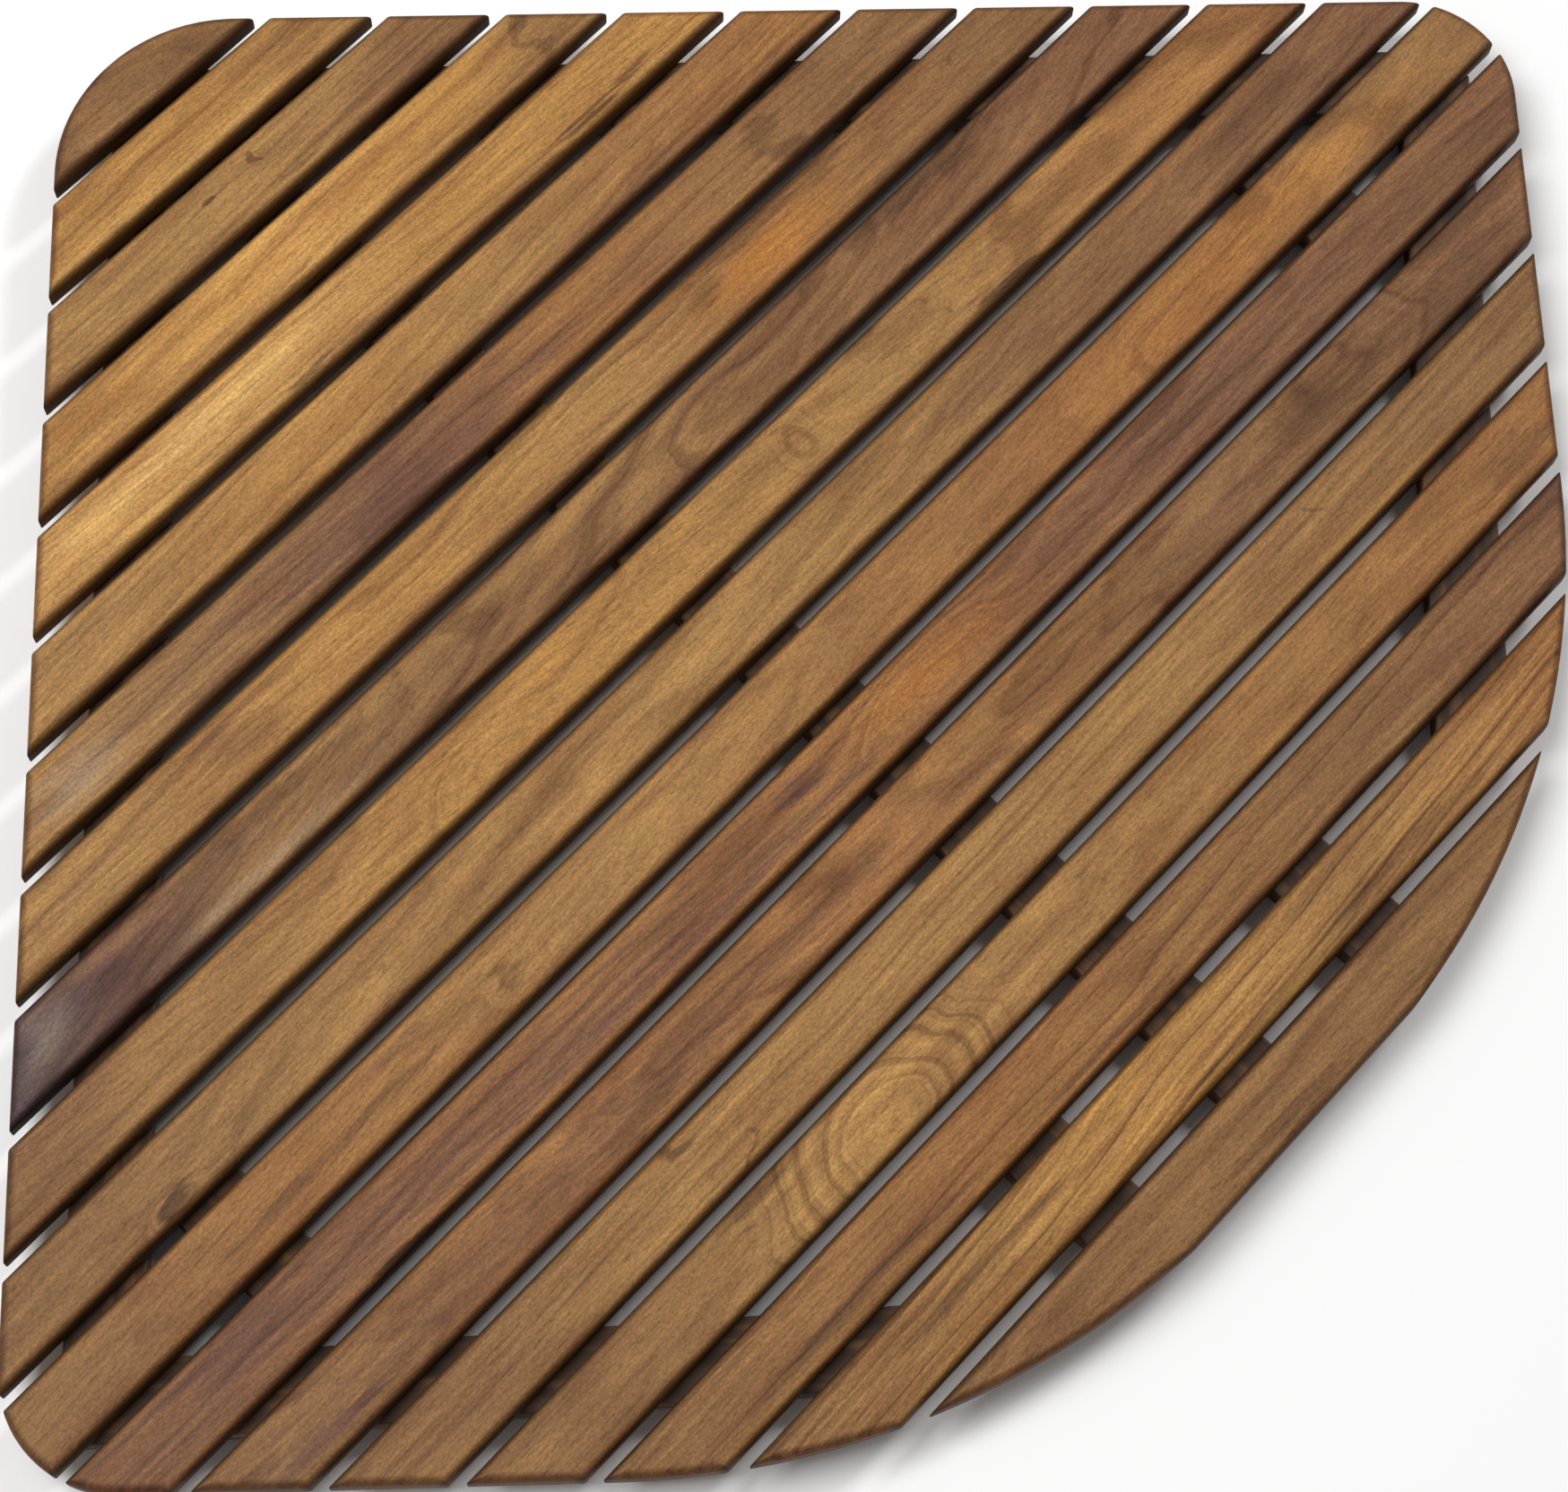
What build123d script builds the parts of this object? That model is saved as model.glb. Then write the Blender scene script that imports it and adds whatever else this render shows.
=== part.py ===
"""Slatted teak corner mat for a shower: fan shaped, 762 mm along each wall.

Nineteen round-edged slats lie side by side across the fan. Nine battens hold them from below
with stainless screws, and rubber feet keep the battens off the wet floor.
The x axis runs along the slats, +Y points to the corner of the two walls, and z = 0 is the floor.
"""
import os
from math import atan2, degrees, hypot, radians, sqrt, tan

from build123d import *

os.makedirs("parts", exist_ok=True)

# ---- driving dimensions, mm ----
side = 762.0  # length along each wall
wall_corner_radius = 90.0  # plan radius that clears the corner of the walls
side_corner_radius = 57.0  # plan radius at the far end of each wall side
side_straight = 280.0  # straight part of an open side, measured from the wall
shoulder_radius = 416.0  # plan radius where an open side turns into the front
front_centre = 71.5  # distance of the front arc's centre from both walls

slat_count = 19
slat_width = 38.0
slat_thickness = 16.0
slat_gap = 5.7  # drainage gap between two slats
slat_edge_radius = 5.0  # round-over along each slat
rim_edge_radius = 4.0  # round-over around the rim, across the slats' ends
first_slat = 33.0  # from the sharp wall corner to the first slat, square to the slats

batten_width = 38.0
batten_thickness = 12.0
batten_edge_radius = 1.5
frame_shift = 3.0  # the batten frame sits this far along the slats from the centre line
rim_inset = 15.0  # battens stay this far inside the rim
batten_clearance = 3.0  # between the end of one batten and the side of the next
wall_batten_inset = 24.0  # from a wall side to its batten
side_batten_inset = 21.0  # from an open side to its batten, at the batten's wall end
side_batten_lean = 2.5  # degrees that a side batten leans inwards
side_batten_end = 420.0  # from the wall to the front end of a side batten
corner_batten_offset = 380.0  # from the frame's centre line to a corner batten's middle
front_batten_offset = 96.0  # from the frame's centre line to a front batten's middle
front_batten_first_slat = 17  # the slat where the front battens start
end_margin = 14.0  # a batten that ends under a slat stops this far from the slat's edge

foot_diameter = 20.0
foot_height = 4.0
foot_edge_radius = 1.2
foot_seat_depth = 0.9  # the foot screw's head lies this far above the floor face

screw_diameter = 3.5
screw_head_diameter = 7.0
slat_screw_length = 22.0
foot_screw_length = 12.0
screw_point = 2.5  # length of the pointed end
screw_fit = 0.05  # radial clearance of every screw hole
recess_length = 3.8  # cross recess in a screw head
recess_width = 0.9
recess_depth = 1.0
screw_to_slat_edge = 9.0  # smallest distance from a screw to a slat's edge
screw_to_batten_end = 8.0  # smallest distance from a screw to a batten's end
mitre_screw = (16.0, 63.0)  # the first slat's screws: across from the centre line, from the corner

# ---- derived sizes and levels ----
root_two = sqrt(2)
pitch = slat_width + slat_gap
batten_bottom = foot_height
batten_top = batten_bottom + batten_thickness
slat_top = batten_top + slat_thickness
rim_apex = (root_two - 1) * wall_corner_radius  # from the sharp wall corner to the rim
last_edge = first_slat + (slat_count - 1) * pitch + slat_width
corner_y = (rim_apex + last_edge) / 2  # y of the sharp wall corner, so y = 0 is mid depth
head_depth = (screw_head_diameter - screw_diameter) / 2  # of a 90 degree countersunk head

# In wall_plane, local x runs along the right wall and local -y along the left wall.
wall_plane = Plane(origin=(0, corner_y, 0), x_dir=(1, -1, 0), z_dir=(0, 0, 1))


def slat_start(number):
    """Distance from the sharp wall corner to a slat's edge nearer the wall, counted from 1."""
    return first_slat + (number - 1) * pitch


def gap_middle(number):
    """Distance from the sharp wall corner to the middle of the gap after a slat."""
    return slat_start(number) + slat_width + slat_gap / 2


def off_walls(right, left):
    """Turn distances along the right and the left wall into (across, away from the corner)."""
    return ((right - left) / root_two, (right + left) / root_two)


def in_plan(across, away):
    """Turn a place in the batten frame into x and y."""
    return (frame_shift + across, corner_y - away)


# ---- the rim, in plan ----
front_across = side - shoulder_radius - front_centre
front_along = side_straight - front_centre
front_radius = hypot(front_across, front_along) + shoulder_radius
shoulder_turn = degrees(atan2(front_along, front_across))
shoulder_place = side - shoulder_radius

with BuildSketch(wall_plane) as rim:
    with BuildLine():
        Line((0, 0), (side, 0))
        Line((side, 0), (side, -side_straight))
        CenterArc((shoulder_place, -side_straight), shoulder_radius, 0, -shoulder_turn)
        CenterArc((front_centre, -front_centre), front_radius, -shoulder_turn, 2 * shoulder_turn - 90)
        CenterArc((side_straight, -shoulder_place), shoulder_radius, shoulder_turn - 90, -shoulder_turn)
        Line((side_straight, -side), (0, -side))
        Line((0, -side), (0, 0))
    make_face()
    fillet(rim.vertices().sort_by_distance((side, 0, 0))[0], side_corner_radius)
    fillet(rim.vertices().sort_by_distance((0, -side, 0))[0], side_corner_radius)
    fillet(rim.vertices().sort_by_distance((0, 0, 0))[0], wall_corner_radius)

# The whole platform before it is parted into slats, with its rim rounded over.
with BuildPart() as platform:
    with BuildSketch(wall_plane.offset(batten_top)):
        add(rim.sketch_local)
    extrude(amount=slat_thickness)
    fillet(platform.faces().sort_by(Axis.Z)[-1].edges(), rim_edge_radius)
    fillet(platform.faces().sort_by(Axis.Z)[0].edges(), rim_edge_radius)

# The room that the battens may take up.
with BuildPart() as batten_room:
    with BuildSketch(wall_plane.offset(batten_bottom)):
        add(rim.sketch_local)
        offset(amount=-rim_inset)
    extrude(amount=batten_thickness)

# ---- the battens, as centre lines from start to end in (across, away from the corner) ----
half_width = batten_width / 2
wall_line = wall_batten_inset + half_width
wall_inner = wall_batten_inset + batten_width
side_start = side - side_batten_inset - half_width
lean = tan(radians(side_batten_lean))
side_end = side_start - lean * (side_batten_end - wall_batten_inset)
side_inner = side_start - half_width - lean * batten_width  # where a wall batten ends on it
wall_end = side_inner - batten_clearance
skew_clearance = batten_clearance * root_two
centre_start = wall_inner * root_two + half_width + skew_clearance
corner_start = wall_inner * root_two + corner_batten_offset + half_width + skew_clearance
side_inner_slope = (1 - lean) / (1 + lean)  # of a side batten's inner face, away per across
corner_side = corner_batten_offset + half_width
inner_across, inner_away = off_walls(side_start - half_width, wall_batten_inset)
corner_end = inner_away + (inner_across - corner_side) * side_inner_slope - skew_clearance
front_start = slat_start(front_batten_first_slat) + end_margin
front_end = last_edge - end_margin

centre_lines = {
    "centre_batten": ((0, centre_start), (0, front_end)),
    "wall_batten": (off_walls(wall_line, wall_line), off_walls(wall_end, wall_line)),
    "side_batten": (off_walls(side_start, wall_batten_inset), off_walls(side_end, side_batten_end)),
    "corner_batten": ((corner_batten_offset, corner_start), (corner_batten_offset, corner_end)),
    "front_batten": ((front_batten_offset, front_start), (front_batten_offset, front_end)),
}
# The gaps that the feet lie under, by the number of the slat before each gap.
foot_gaps = {
    "centre_batten": (5, 10, 14, 18),
    "wall_batten": (2, 6, 11),
    "side_batten": (13, 17),
    "corner_batten": (),
    "front_batten": (18,),
}


def point_on(line, away):
    """The point of a centre line at a distance from the wall corner, square to the slats."""
    (start_across, start_away), (end_across, end_away) = line
    share = (away - start_away) / (end_away - start_away)
    return (start_across + share * (end_across - start_across), away)


def screw_points(line):
    """One screw in each slat that a batten crosses with enough wood all round."""
    points = []
    for number in range(1, slat_count + 1):
        first = slat_start(number) + screw_to_slat_edge
        last = slat_start(number) + slat_width - screw_to_slat_edge
        low = max(first, line[0][1] + screw_to_batten_end)
        high = min(last, line[1][1] - screw_to_batten_end)
        if low <= high:
            points.append(point_on(line, (low + high) / 2))
    return points


def other_side(points):
    """Mirror places across the frame's centre line."""
    return [(-across, away) for across, away in points]


def batten_plan(name):
    """Plan corners of a batten: square ends, or a mitre where the two wall battens meet."""
    (x_start, y_start), (x_end, y_end) = centre_lines[name]
    length = hypot(x_end - x_start, y_end - y_start)
    side_x = -(y_end - y_start) / length * half_width
    side_y = (x_end - x_start) / length * half_width
    corners = [
        (x_start + side_x, y_start + side_y),
        (x_start - side_x, y_start - side_y),
        (x_end - side_x, y_end - side_y),
        (x_end + side_x, y_end + side_y),
    ]
    if name == "wall_batten":
        mitre = batten_clearance / 2
        corners[0] = (mitre, wall_inner * root_two + mitre)
        corners[1] = (mitre, wall_batten_inset * root_two + mitre)
    return corners


batten_shapes = {}
batten_screws = {}
foot_places = []
for name, line in centre_lines.items():
    screws = screw_points(line)
    if name == "wall_batten":
        screws.append(mitre_screw)
    feet = [point_on(line, gap_middle(number)) for number in foot_gaps[name]]
    if name == "centre_batten":
        batten_shapes[name] = batten_plan(name)
        batten_screws[name] = screws
        foot_places += feet
    else:
        batten_shapes[name + "_right"] = batten_plan(name)
        batten_screws[name + "_right"] = screws
        batten_shapes[name + "_left"] = other_side(batten_plan(name))
        batten_screws[name + "_left"] = other_side(screws)
        foot_places += feet + other_side(feet)

all_screws = [in_plan(*point) for points in batten_screws.values() for point in points]

for name, corners in batten_shapes.items():
    with BuildPart() as batten:
        with BuildSketch(Plane.XY.offset(batten_bottom)):
            Polygon(*[in_plan(*corner) for corner in corners], align=None)
        extrude(amount=batten_thickness)
        add(batten_room.part, mode=Mode.INTERSECT)
        fillet(batten.faces().sort_by(Axis.Z)[-1].edges(), batten_edge_radius)
        fillet(batten.faces().sort_by(Axis.Z)[0].edges(), batten_edge_radius)
        for x, y in [in_plan(*point) for point in batten_screws[name]]:
            with Locations(Plane(origin=(x, y, batten_bottom), z_dir=(0, 0, -1))):
                CounterSinkHole(
                    screw_diameter / 2 + screw_fit, screw_head_diameter / 2 + screw_fit, counter_sink_angle=90
                )
        for x, y in [in_plan(*place) for place in foot_places]:
            inside = batten.part.is_inside(Vector(x, y, batten_bottom + batten_thickness / 2))
            if inside:
                with BuildSketch(Plane.XY.offset(batten_bottom)):
                    with Locations((x, y)):
                        Circle(screw_diameter / 2 + screw_fit)
                extrude(amount=foot_screw_length - foot_height + foot_seat_depth, mode=Mode.SUBTRACT)
    batten.part.label = name
    export_step(batten.part, f"parts/{name}.step")

# ---- the slats ----
slat_screw_reach = batten_bottom + slat_screw_length - batten_top  # of a screw into a slat

for number in range(1, slat_count + 1):
    start_y = corner_y - slat_start(number)
    middle_y = start_y - slat_width / 2
    screws = [(x, y) for x, y in all_screws if start_y - slat_width < y < start_y]
    with BuildPart() as slat:
        with BuildSketch(Plane.YZ.offset(-side)):
            with Locations((middle_y, batten_top + slat_thickness / 2)):
                RectangleRounded(slat_width, slat_thickness, slat_edge_radius)
        extrude(amount=2 * side)
        add(platform.part, mode=Mode.INTERSECT)
        with BuildSketch(Plane.XY.offset(batten_top)):
            with Locations(*screws):
                Circle(screw_diameter / 2 + screw_fit)
        extrude(amount=slat_screw_reach + screw_fit, mode=Mode.SUBTRACT)
    slat.part.label = f"slat_{number:02d}"
    export_step(slat.part, f"parts/slat_{number:02d}.step")

# ---- the rubber feet ----
foot_radius = foot_diameter / 2
seat_radius = screw_head_diameter / 2 + screw_fit

for number, place in enumerate(foot_places, start=1):
    x, y = in_plan(*place)
    with BuildPart() as foot:
        with BuildSketch(Plane.XY):
            with Locations((x, y)):
                Circle(foot_radius)
        extrude(amount=foot_height)
        fillet(foot.faces().sort_by(Axis.Z)[0].edges(), foot_edge_radius)
        with BuildSketch(Plane.XY):
            with Locations((x, y)):
                Circle(seat_radius)
        extrude(amount=foot_seat_depth, mode=Mode.SUBTRACT)
        with Locations(Plane(origin=(x, y, foot_seat_depth), z_dir=(0, 0, -1))):
            CounterSinkHole(screw_diameter / 2 + screw_fit, seat_radius, counter_sink_angle=90)
    foot.part.label = f"foot_{number:02d}"
    export_step(foot.part, f"parts/foot_{number:02d}.step")


# ---- the screws ----
def make_screw(length):
    """A countersunk screw that points up, with its head's face at z = 0."""
    shank = screw_diameter / 2
    with BuildPart() as screw:
        with BuildSketch(Plane.XZ):
            Polygon(
                (0, 0),
                (screw_head_diameter / 2, 0),
                (shank, head_depth),
                (shank, length - screw_point),
                (0, length),
                align=None,
            )
        revolve(axis=Axis.Z)
        with BuildSketch(Plane.XY):
            Rectangle(recess_length, recess_width)
            Rectangle(recess_width, recess_length)
        extrude(amount=recess_depth, mode=Mode.SUBTRACT)
    return screw.part


slat_screw = make_screw(slat_screw_length)
with BuildPart() as slat_screws:
    with Locations(*[(x, y, batten_bottom) for x, y in all_screws]):
        add(slat_screw)
slat_screws.part.label = "slat_screws"
export_step(slat_screws.part, "parts/slat_screws.step")

foot_screw = make_screw(foot_screw_length)
with BuildPart() as foot_screws:
    with Locations(*[(*in_plan(*place), foot_seat_depth) for place in foot_places]):
        add(foot_screw)
foot_screws.part.label = "foot_screws"
export_step(foot_screws.part, "parts/foot_screws.step")

print(f"{slat_count} slats, {len(batten_shapes)} battens, {len(foot_places)} feet")
print(f"{len(all_screws)} slat screws, overall height {slat_top} mm, corner at y {corner_y:.1f} mm")
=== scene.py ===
# %% [markdown]
# # A slatted teak corner mat for a shower
# The real mat is nineteen oiled teak slats on a frame of nine battens, with small rubber feet.
# The CAD model already holds every piece at its true size. This lesson makes the slats again as
# smooth surfaces with softly sanded ends, and gives each board its own colour and figure.
# The battens, feet and screws keep their CAD shape and only get a finish.

from math import sqrt

import bpy
import numpy as np
from mathutils import Matrix, Vector


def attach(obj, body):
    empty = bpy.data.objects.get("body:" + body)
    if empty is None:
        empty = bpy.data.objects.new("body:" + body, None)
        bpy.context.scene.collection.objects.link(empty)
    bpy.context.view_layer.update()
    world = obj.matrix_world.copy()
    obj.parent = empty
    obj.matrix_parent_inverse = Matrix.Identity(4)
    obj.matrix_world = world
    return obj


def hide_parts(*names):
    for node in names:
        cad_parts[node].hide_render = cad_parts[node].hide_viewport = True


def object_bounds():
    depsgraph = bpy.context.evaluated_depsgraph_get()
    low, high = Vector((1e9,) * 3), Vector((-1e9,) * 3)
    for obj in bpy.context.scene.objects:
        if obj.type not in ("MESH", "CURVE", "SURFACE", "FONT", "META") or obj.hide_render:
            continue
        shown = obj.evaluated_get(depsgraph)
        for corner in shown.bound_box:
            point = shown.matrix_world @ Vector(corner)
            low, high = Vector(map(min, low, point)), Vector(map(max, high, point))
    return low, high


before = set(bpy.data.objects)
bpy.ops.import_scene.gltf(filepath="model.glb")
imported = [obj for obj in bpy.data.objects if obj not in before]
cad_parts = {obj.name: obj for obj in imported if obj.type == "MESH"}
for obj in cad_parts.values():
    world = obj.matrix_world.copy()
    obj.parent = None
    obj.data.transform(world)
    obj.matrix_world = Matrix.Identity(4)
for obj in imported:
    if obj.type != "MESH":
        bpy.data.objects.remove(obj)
cad_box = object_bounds()
print("CAD box", [tuple(round(c, 4) for c in corner) for corner in cad_box])

# %% [markdown]
# ## Sizes
# The part is drawn in millimetres and Blender works in metres. All places across the fan are
# counted from the sharp corner of the two walls, which lies on the y axis beyond the first slat.

# %% Sizes of the mat
MM = 0.001
ROOT_TWO = sqrt(2)
SIDE = 762.0
WALL_CORNER_RADIUS = 90.0
SIDE_CORNER_RADIUS = 57.0
SIDE_STRAIGHT = 280.0
SHOULDER_RADIUS = 416.0
FRONT_CENTRE = 71.5
SLAT_COUNT = 19
SLAT_WIDTH = 38.0
SLAT_THICKNESS = 16.0
SLAT_PITCH = 43.7
FIRST_SLAT = 33.0
LONG_EDGE_RADIUS = 5.0
RIM_EDGE_RADIUS = 4.0
SANDED_EDGE = 0.7  # round-over of the edges of a cut end
RIM_APEX = (ROOT_TWO - 1) * WALL_CORNER_RADIUS
CORNER_Y = cad_box[1].y / MM + RIM_APEX
SLAT_TOP = cad_box[1].z / MM
SLAT_MIDDLE = SLAT_TOP - SLAT_THICKNESS / 2
print("wall corner at y", round(CORNER_Y, 2), "mm, slat tops at z", round(SLAT_TOP, 2), "mm")

# %% [markdown]
# ## The rim
# Seen from above, the rim is a chain of straight lines and arcs that meet smoothly. A point on
# the rim is found from its distance to the wall corner: each stretch of that distance belongs to
# one line or one arc, and the half width there comes from the line's or the circle's equation.
# Moving the rim inwards moves every line and shrinks every arc by the same amount.


# %% Half width of the fan
def half_width(away, inset):
    """Half the fan's width at a distance from the wall corner, for a rim moved inwards.

    On a straight side the half width grows or shrinks by one for each unit of distance. On an arc
    it is the centre's place plus the root of (radius squared less height above centre squared).
    """
    corner_away = WALL_CORNER_RADIUS * ROOT_TWO
    side_across = (SIDE - 2 * SIDE_CORNER_RADIUS) / ROOT_TWO
    side_away = SIDE / ROOT_TWO
    shoulder = SIDE - SHOULDER_RADIUS
    shoulder_across = (shoulder - SIDE_STRAIGHT) / ROOT_TWO
    shoulder_away = (shoulder + SIDE_STRAIGHT) / ROOT_TWO
    front_away = FRONT_CENTRE * ROOT_TWO
    to_shoulder = np.hypot(shoulder_across, shoulder_away - front_away)
    front_radius = to_shoulder + SHOULDER_RADIUS

    def arc(across, centre, radius):
        return across + np.sqrt(np.maximum((radius - inset) ** 2 - (away - centre) ** 2, 0.0))

    shoulder_end = shoulder_away + (SHOULDER_RADIUS - inset) * (
        (shoulder_away - front_away) / to_shoulder
    )
    return np.select(
        [
            away < corner_away - (WALL_CORNER_RADIUS - inset) / ROOT_TWO,
            away < side_away - (SIDE_CORNER_RADIUS - inset) / ROOT_TWO,
            away < side_away + (SIDE_CORNER_RADIUS - inset) / ROOT_TWO,
            away < shoulder_away + (SHOULDER_RADIUS - inset) / ROOT_TWO,
            away < shoulder_end,
        ],
        [
            arc(0.0, corner_away, WALL_CORNER_RADIUS),
            away - inset * ROOT_TWO,
            arc(side_across, side_away, SIDE_CORNER_RADIUS),
            (SIDE - inset) * ROOT_TWO - away,
            arc(shoulder_across, shoulder_away, SHOULDER_RADIUS),
        ],
        arc(0.0, front_away, front_radius),
    )


print("widest half width", round(float(half_width(np.array(SIDE / ROOT_TWO), 0.0)), 2), "mm")

# %% [markdown]
# ## One slat
# A slat is a bar with rounded long edges. Its ends follow the rim and are rounded over with it.
# A box with a bevel would give every end the same shape, but here the first slat ends on an arc,
# most end on a slant, and the last ends in long curved tips. So the slat is worked out as rings:
# each ring is the bar's rounded section, and its points slide along the bar until they meet the
# rounded rim. Rings that shrink towards the middle of the section close the two ends.


# %% The rounded section
CORNER_POINTS = 7
FACE_POINTS = 8
EDGE_POINTS = 4
SMALLEST_RADIUS = 0.2  # mm; keeps a corner's points apart when it shrinks


def rounded_section(shrink):
    """Points round a rounded rectangle, as (across, up) pairs for each value of shrink.

    Every point is a corner's centre plus its radius times (cos, sin) of the turn. The flats get
    extra points by blending their two ends. Shrinking takes the same amount off every side.
    """
    steps = np.linspace(0, np.pi / 2, CORNER_POINTS)
    blends = (np.linspace(0, 1, FACE_POINTS)[1:-1], np.linspace(0, 1, EDGE_POINTS)[1:-1])
    radius = np.maximum(LONG_EDGE_RADIUS - shrink, SMALLEST_RADIUS)[:, None]
    reach_y = SLAT_WIDTH / 2 - LONG_EDGE_RADIUS
    reach_z = SLAT_THICKNESS / 2 - LONG_EDGE_RADIUS
    places = [(1, 1), (-1, 1), (-1, -1), (1, -1)]
    arcs = []
    for turn, (side_y, side_z) in enumerate(places):
        angle = turn * np.pi / 2 + steps
        arcs.append(np.stack([
            side_y * reach_y + radius * np.cos(angle),
            side_z * reach_z + radius * np.sin(angle),
        ], axis=-1))
    pieces = []
    for turn in range(4):
        end, start = arcs[turn][:, -1:], arcs[(turn + 1) % 4][:, :1]
        blend = blends[turn % 2][None, :, None]
        pieces += [arcs[turn], end + (start - end) * blend]
    return np.concatenate(pieces, axis=1)


print("points round a section:", rounded_section(np.array([0.0])).shape[1])


# %% The first slat's round back
APEX_FLAT = 0.02  # mm cut off the very tip, so that its faces keep a width


def follow_apex(away, inset):
    """Squeeze the first slat's section into the arc at the wall corner.

    A point keeps its place from the front edge's round-over onwards. Behind that its distance to
    the arc's tip becomes the square of its share of the way, which spaces the rim evenly.
    """
    front = FIRST_SLAT + SLAT_WIDTH - LONG_EDGE_RADIUS
    tip = RIM_APEX + inset + APEX_FLAT
    share = np.clip((away - FIRST_SLAT) / (front - FIRST_SLAT), 0, 1)
    return np.where(away < front, tip + (front - tip) * share**2, away)


print("the first slat's tip lies", round(RIM_APEX, 2), "mm from the wall corner")


# %% The rings of one slat
CAP_SCALES = np.array([0.12, 0.3, 0.45, 0.56, 0.66, 0.75, 0.83, 0.9, 0.95, 0.98])
STATIONS = 49  # places along the bar, counting both ends


def slat_rings(number):
    """All rings of a slat from its left end to its right end, as (ring, point, xyz) in mm.

    The rings of an end are the cap, whose rings grow from near a point to the full section, and
    the sanded edge, a quarter turn in which the section shrinks by radius times (1 - cos) and
    stands back by radius times (1 - sin). A point's x is the fan's half width at its place, with
    the rim moved in by radius less root of (radius squared less height above its bottom squared).
    The rings come with how far each point lies on the cut end, and how far round a long edge.
    """
    angles = np.linspace(np.pi / 2, 0, 6)
    stations = np.linspace(0, 1, STATIONS)[1:-1]
    cap, flat = np.ones(len(CAP_SCALES)), np.zeros(len(stations))
    end = np.zeros(len(cap) + len(angles))

    def both_ends(on_cap, on_edge, between):
        return np.concatenate([on_cap, on_edge, between, on_edge[::-1], on_cap[::-1]])

    shares = np.concatenate([end, stations, end + 1])
    scale = both_ends(CAP_SCALES, np.ones(len(angles)), flat + 1)
    shrink = both_ends(cap * SANDED_EDGE, SANDED_EDGE * (1 - np.cos(angles)), flat)
    stand_back = SANDED_EDGE * ROOT_TWO * (1 - np.sin(angles))
    back = both_ends(cap * 0, stand_back, flat + SANDED_EDGE * ROOT_TWO)
    section = rounded_section(shrink) * scale[:, None, None]
    middle = FIRST_SLAT + (number - 1) * SLAT_PITCH + SLAT_WIDTH / 2
    away = middle - section[..., 0]
    depth = np.clip(SLAT_THICKNESS / 2 - np.abs(section[..., 1]), 0, RIM_EDGE_RADIUS)
    inset = RIM_EDGE_RADIUS - np.sqrt(
        RIM_EDGE_RADIUS**2 - (RIM_EDGE_RADIUS - depth) ** 2
    )
    if number == 1:
        away = follow_apex(away, inset)
    reach = half_width(away, inset) - back[:, None]
    x = reach * (2 * shares - 1)[:, None]
    rings = np.stack([x, CORNER_Y - away, SLAT_MIDDLE + section[..., 1]], axis=-1)
    on_end = both_ends(cap, np.sin(angles), flat)
    past_flat = np.abs(section[..., 0]) - (SLAT_WIDTH / 2 - LONG_EDGE_RADIUS)
    long_edge = np.clip(past_flat / LONG_EDGE_RADIUS, 0, 1)
    end_grain = np.repeat(on_end[:, None], section.shape[1], axis=1)
    if number == 1:  # its back edge is part of the cut rim
        behind = section[..., 0] > 0
        end_grain = np.where(behind, np.maximum(end_grain, long_edge), end_grain)
        long_edge = np.where(behind, 0.0, long_edge)
    return rings, end_grain, long_edge


rings, end_grain, long_edge = slat_rings(10)
print("slat 10 spans x", rings[..., 0].min().round(1), "to", rings[..., 0].max().round(1), "mm")

# %% [markdown]
# ## From rings to a mesh
# Neighbouring rings are joined by four-sided faces, and a single point closes each end with a fan
# of triangles. Each point also stores how far it lies on the cut end of the board and how far
# round a long edge, because end grain drinks more oil, and the rounded long edges get a painted
# shade where they curve away from the light.


# %% Build a closed skin from rings
def skin_over(name, rings, end_grain, long_edge):
    """A closed mesh over rings: face k of a ring joins points k and k+1 of it and the next.

    end_grain and long_edge hold a number from 0 to 1 for each point, kept as mesh attributes.
    """
    count, points = rings.shape[:2]
    poles = np.stack([rings[0].mean(axis=0), rings[-1].mean(axis=0)])
    corners = np.concatenate([rings.reshape(-1, 3), poles]) * MM
    grid = np.arange(count * points).reshape(count, points)
    ahead = np.roll(grid, -1, axis=1)
    quads = np.stack([grid[:-1], ahead[:-1], ahead[1:], grid[1:]], axis=-1).reshape(-1, 4)
    first = np.stack([ahead[0], grid[0], np.full(points, count * points)], axis=-1)
    last = np.stack([grid[-1], ahead[-1], np.full(points, count * points + 1)], axis=-1)
    mesh = bpy.data.meshes.new(name)
    mesh.from_pydata(corners.tolist(), [], quads.tolist() + first.tolist() + last.tolist())
    mesh.shade_smooth()
    for title, values, at_poles in (
        ("end_grain", end_grain.ravel(), [1.0, 1.0]),
        ("long_edge", long_edge.ravel(), [0.0, 0.0]),
    ):
        stored = mesh.attributes.new(title, "FLOAT", "POINT")
        stored.data.foreach_set("value", np.append(values, at_poles))
    piece = bpy.data.objects.new(name, mesh)
    bpy.context.scene.collection.objects.link(piece)
    return piece


slats = {}
for number in range(1, SLAT_COUNT + 1):
    slats[number] = skin_over(f"teak_slat_{number:02d}", *slat_rings(number))
    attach(slats[number], "root")
    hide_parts(f"slat_{number:02d}")
print("slats made:", len(slats), "with", len(slats[1].data.polygons), "faces each")

# %% [markdown]
# ## Colours and nodes
# Colours are written as the sRGB hex values that a paint chart would give. Blender's shaders work
# in linear light, so one function turns a hex value into linear numbers. One more helper adds a
# node, sets its properties and sockets and links its inputs, so a material reads as a short list.


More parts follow.
